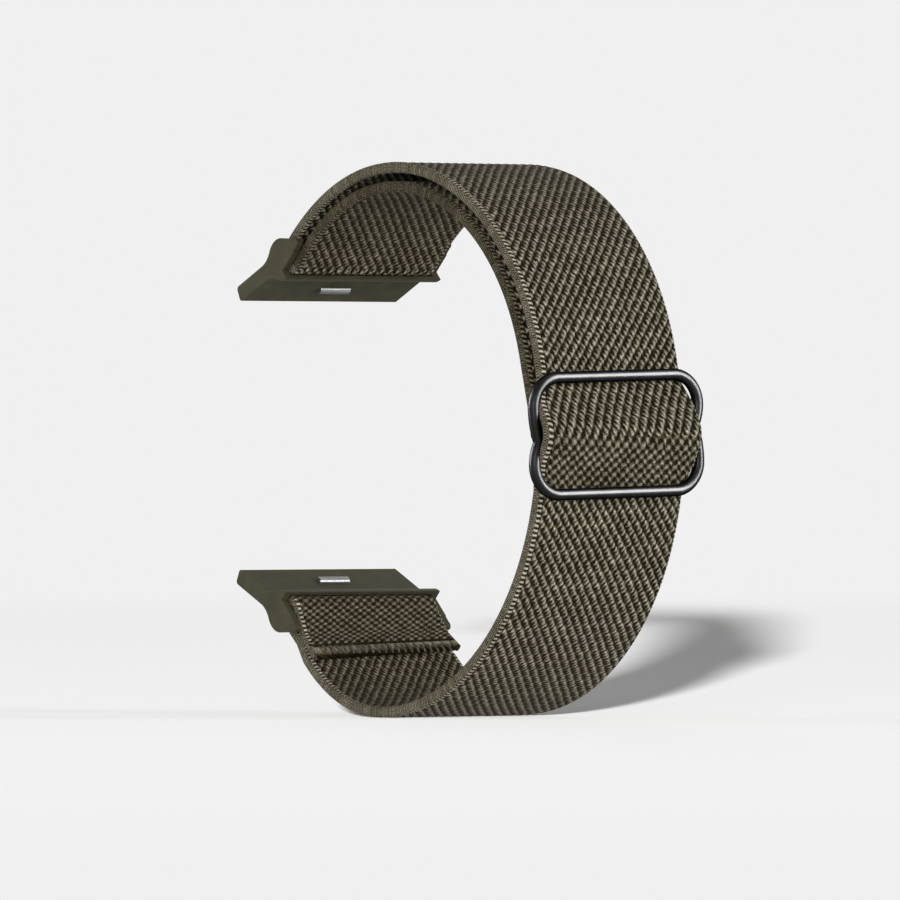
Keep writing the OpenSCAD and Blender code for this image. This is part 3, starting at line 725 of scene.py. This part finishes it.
def dark_metal():
    """Dark plating with faint grain and a cloudy gloss."""
    net = Net("dark_plating")
    place = object_place(net)
    cloud = net.noise(place, scale=260.0, detail=3.0)
    grain = net.noise(place, scale=5200.0)
    net.bump(grain, distance=0.004 * MM, strength=0.3)
    colours = (0.3, (0.014, 0.014, 0.0145)), (0.7, (0.021, 0.021, 0.0215))
    return net.set(Base_Color=net.ramp(cloud, colours), Metallic=1.0, Specular_Tint=(0.05, 0.05, 0.05, 1),
                   Roughness=net.math("MULTIPLY_ADD", cloud, 0.10, 0.32))


def olive_paint():
    """Matte olive paint: fine grain and a little unevenness."""
    net = Net("olive_paint")
    place = object_place(net)
    cloud = net.noise(place, scale=330.0, detail=4.0)
    grain = net.noise(place, scale=6500.0)
    tone = net.math("MULTIPLY_ADD", grain, 0.35, net.product(cloud, 0.65))
    net.bump(grain, distance=0.02 * MM, strength=0.5)
    colours = (0.25, (0.030, 0.028, 0.013)), (0.5, (0.058, 0.055, 0.027)), (0.8, (0.098, 0.093, 0.052))
    return net.set(Base_Color=net.ramp(tone, colours), Specular_IOR_Level=0.25,
                   Roughness=net.math("MULTIPLY_ADD", cloud, 0.2, 0.55))


def steel():
    """Drawn steel with fine grain."""
    net = Net("steel")
    grain = net.noise(object_place(net), scale=3800.0)
    colours = (0.3, (0.22, 0.22, 0.225)), (0.7, (0.34, 0.34, 0.345))
    return net.set(Base_Color=net.ramp(grain, colours), Metallic=1.0,
                   Roughness=net.math("MULTIPLY_ADD", grain, 0.15, 0.30))


finishes = {"dark_metal": dark_metal(), "olive_metal": olive_paint(), "steel": steel()}
slots = {part["node"]: part["material_slot"] for part in frame["record"]["subparts"]}
for node, obj in frame["nodes"].items():
    if slots[node] in finishes:
        obj.data.materials.clear()
        obj.data.materials.append(finishes[slots[node]])

# Stage, in metres: a pale floor that fades into the background between two distances from a point
# behind the band. FLOOR_SEEN is its colour to the camera and in reflections, and FLOOR_BOUNCE is
# the grey that it throws back on the band.
BACKGROUND = (0.871, 0.871, 0.871)
FLOOR_HALF, FADE_FROM, FADE_TO, FADE_MIDDLE = 4.0, 0.50, 0.95, (-0.30, 0.22, 0.0)
FLOOR_BOUNCE, FLOOR_SEEN = 0.35, 0.885
floor_mesh = bpy.data.meshes.new("floor")
corners = [(x * FLOOR_HALF, y * FLOOR_HALF, 0) for x, y in ((-1, -1), (1, -1), (1, 1), (-1, 1))]
floor_mesh.from_pydata(corners, [], [(0, 1, 2, 3)])
floor = bpy.data.objects.new("floor", floor_mesh)
bpy.context.collection.objects.link(floor)


def seen_directly(tree):
    """1 for the camera's own rays and those that metal or glass sends on."""
    path = tree.nodes.new("ShaderNodeLightPath")
    seen = path.outputs["Is Camera Ray"]
    for name in ("Is Glossy Ray", "Is Transmission Ray"):
        most = tree.nodes.new("ShaderNodeMath")
        most.operation = "MAXIMUM"
        tree.links.new(seen, most.inputs[0])
        tree.links.new(path.outputs[name], most.inputs[1])
        seen = most.outputs[0]
    return seen


def floor_material():
    """Grey for the light that it throws back, and pale where it is seen, fading out far away."""
    net = Net("pale_floor")
    off = net.node("ShaderNodeVectorMath", {"operation": "SUBTRACT"})
    net.put(off.inputs[0], object_place(net))
    net.put(off.inputs[1], FADE_MIDDLE)
    reach = net.node("ShaderNodeVectorMath", {"operation": "LENGTH"})
    net.put(reach.inputs[0], off.outputs[0])
    net.set(Base_Color=(*[FLOOR_BOUNCE] * 3, 1), Roughness=0.9, Specular_IOR_Level=0.1)
    pale = net.node("ShaderNodeBsdfDiffuse", Color=(*[FLOOR_SEEN] * 3, 1))
    plain = net.node("ShaderNodeEmission", Color=(*BACKGROUND, 1), Strength=1.0)
    far = net.node("ShaderNodeMixShader", Fac=net.smooth(reach.outputs["Value"], FADE_FROM, FADE_TO))
    net.put(far.inputs[1], pale.outputs[0])
    net.put(far.inputs[2], plain.outputs[0])
    mix = net.node("ShaderNodeMixShader", Fac=seen_directly(net.tree))
    net.put(mix.inputs[1], net.shader.outputs[0])
    net.put(mix.inputs[2], far.outputs[0])
    net.put(net.tree.nodes["Material Output"].inputs["Surface"], mix.outputs[0])
    return net.material


floor_mesh.materials.append(floor_material())

# Level of the world's light, which falls off from the horizon to the zenith
WORLD_TINT, HORIZON, ZENITH = (1.0, 0.995, 0.98), 0.52, 0.0


def studio_world():
    """Soft light that falls off towards the zenith, and a plain background where it is seen."""
    world = bpy.data.worlds.new("studio")
    world.use_nodes = True
    tree = world.node_tree
    soft = tree.nodes["Background"]
    soft.inputs["Color"].default_value = (*WORLD_TINT, 1)
    sky = tree.nodes.new("ShaderNodeSeparateXYZ")
    tree.links.new(tree.nodes.new("ShaderNodeTexCoord").outputs["Generated"], sky.inputs[0])
    level = tree.nodes.new("ShaderNodeMapRange")
    level.inputs["To Min"].default_value = HORIZON
    level.inputs["To Max"].default_value = ZENITH
    tree.links.new(sky.outputs["Z"], level.inputs["Value"])
    tree.links.new(level.outputs[0], soft.inputs["Strength"])
    shown = tree.nodes.new("ShaderNodeBackground")
    shown.inputs["Color"].default_value = (*BACKGROUND, 1)
    pick = tree.nodes.new("ShaderNodeMixShader")
    tree.links.new(seen_directly(tree), pick.inputs[0])
    tree.links.new(soft.outputs[0], pick.inputs[1])
    tree.links.new(shown.outputs[0], pick.inputs[2])
    tree.links.new(pick.outputs[0], tree.nodes["World Output"].inputs["Surface"])
    return world


bpy.context.scene.world = studio_world()


def toward(azimuth, rise=0.0):
    """Unit vector to an azimuth in degrees from +X, and to a rise above level."""
    a, b = math.radians(azimuth), math.radians(rise)
    return Vector((math.cos(a) * math.cos(b), math.sin(a) * math.cos(b), math.sin(b)))


def add_lamp(light, shine):
    """Puts a lamp in the scene, turned to shine in a direction."""
    obj = bpy.data.objects.new(light.name, light)
    bpy.context.collection.objects.link(obj)
    obj.rotation_mode = "QUATERNION"
    obj.rotation_quaternion = shine.to_track_quat("-Z", "Y")
    return obj


def softbox(name, azimuth, distance, height, size, level):
    """A lamp that looks at the band. level is its light's share of white."""
    light = bpy.data.lights.new(name, "AREA")
    light.shape = "RECTANGLE"
    light.size, light.size_y = size
    place = distance * toward(azimuth) + Vector((0, 0, height))
    to_band = Vector(BAND_MIDDLE) - place
    light.energy = level * math.pi**2 * to_band.length ** 2
    obj = add_lamp(light, to_band)
    obj.location = place
    return obj


def light_only(light, obj):
    """Links a lamp to one object, so that it lights nothing else."""
    lit = bpy.data.collections.new("lit_by_" + light.name)
    lit.objects.link(obj)
    light.light_linking.receiver_collection = lit


BAND_MIDDLE = (0.0, 0.0, 0.038)

# Of each lamp: name, azimuth in degrees, distance, height and size in metres, and level
LAMPS = (
    ("key", -43, 2.6, 0.28, (0.55, 0.45), 0.37),
    ("right_strip", 35.5, 1.5, 0.27, (0.30, 0.50), 0.35),
    ("left_strip", -128, 1.5, 0.36, (0.30, 0.66), 0.14),
    ("back", 150, 3.4, 0.50, (0.85, 0.80), 0.16),
)

# Tall reflectors that shine on the wire alone: along its bars, and along its sides' outer edge
REFLECTORS = (
    ("bar_reflector", 38, 1.2, 0.42, (0.46, 0.9), 7.0),
    ("edge_reflector", -138, 1.2, 0.36, (0.34, 0.66), 6.0),
)
for lamp in LAMPS:
    softbox(*lamp)
for lamp in REFLECTORS:
    light_only(softbox(*lamp), frame["nodes"]["slider_frame"])

# A low lamp for the floor alone, so that the band's shadow falls behind it to the right: its azimuth,
# rise and angular size in degrees, and its level on the floor
LOW_AZIMUTH, LOW_RISE, LOW_SIZE, LOW_LEVEL = -38.15, 4.3, 1.5, 0.67
low_light = bpy.data.lights.new("floor_lamp", "SUN")
low_light.energy = LOW_LEVEL * math.pi / math.sin(math.radians(LOW_RISE))
low_light.angle = math.radians(LOW_SIZE)
light_only(add_lamp(low_light, -toward(LOW_AZIMUTH, LOW_RISE)), floor)

# Camera: level, at the photograph's angle from the side view, and this far from the aim in mm. The
# aim falls on pixel CENTRE_U, CENTRE_V of a frame that is 900 pixels wide and high.
VIEW_TURN, VIEW_FAR, PIXELS_PER_MM = 54.5, 1600.0, 7.3
FRAME_PIXELS, SENSOR = 900, 36.0
CENTRE_U, CENTRE_V = 455.0, 441.0
AIM = np.array([-3.097, 0.0, 37.75])
turn = math.radians(VIEW_TURN)
to_camera = np.array([math.sin(turn), -math.cos(turn), 0])
camera_data = bpy.data.cameras.new("camera")
camera_data.sensor_width = SENSOR
camera_data.lens = VIEW_FAR * SENSOR * PIXELS_PER_MM / FRAME_PIXELS
camera_data.shift_x = (FRAME_PIXELS / 2 - CENTRE_U) / FRAME_PIXELS
camera_data.shift_y = (CENTRE_V - FRAME_PIXELS / 2) / FRAME_PIXELS
camera_data.clip_start, camera_data.clip_end = 0.05, 20.0
camera = bpy.data.objects.new("camera", camera_data)
bpy.context.collection.objects.link(camera)
camera.location = tuple((AIM + VIEW_FAR * to_camera) * MM)
camera.rotation_mode = "QUATERNION"
camera.rotation_quaternion = Vector(-to_camera).to_track_quat("-Z", "Y")
scene = bpy.context.scene
scene.camera = camera
scene.view_settings.view_transform = "Standard"
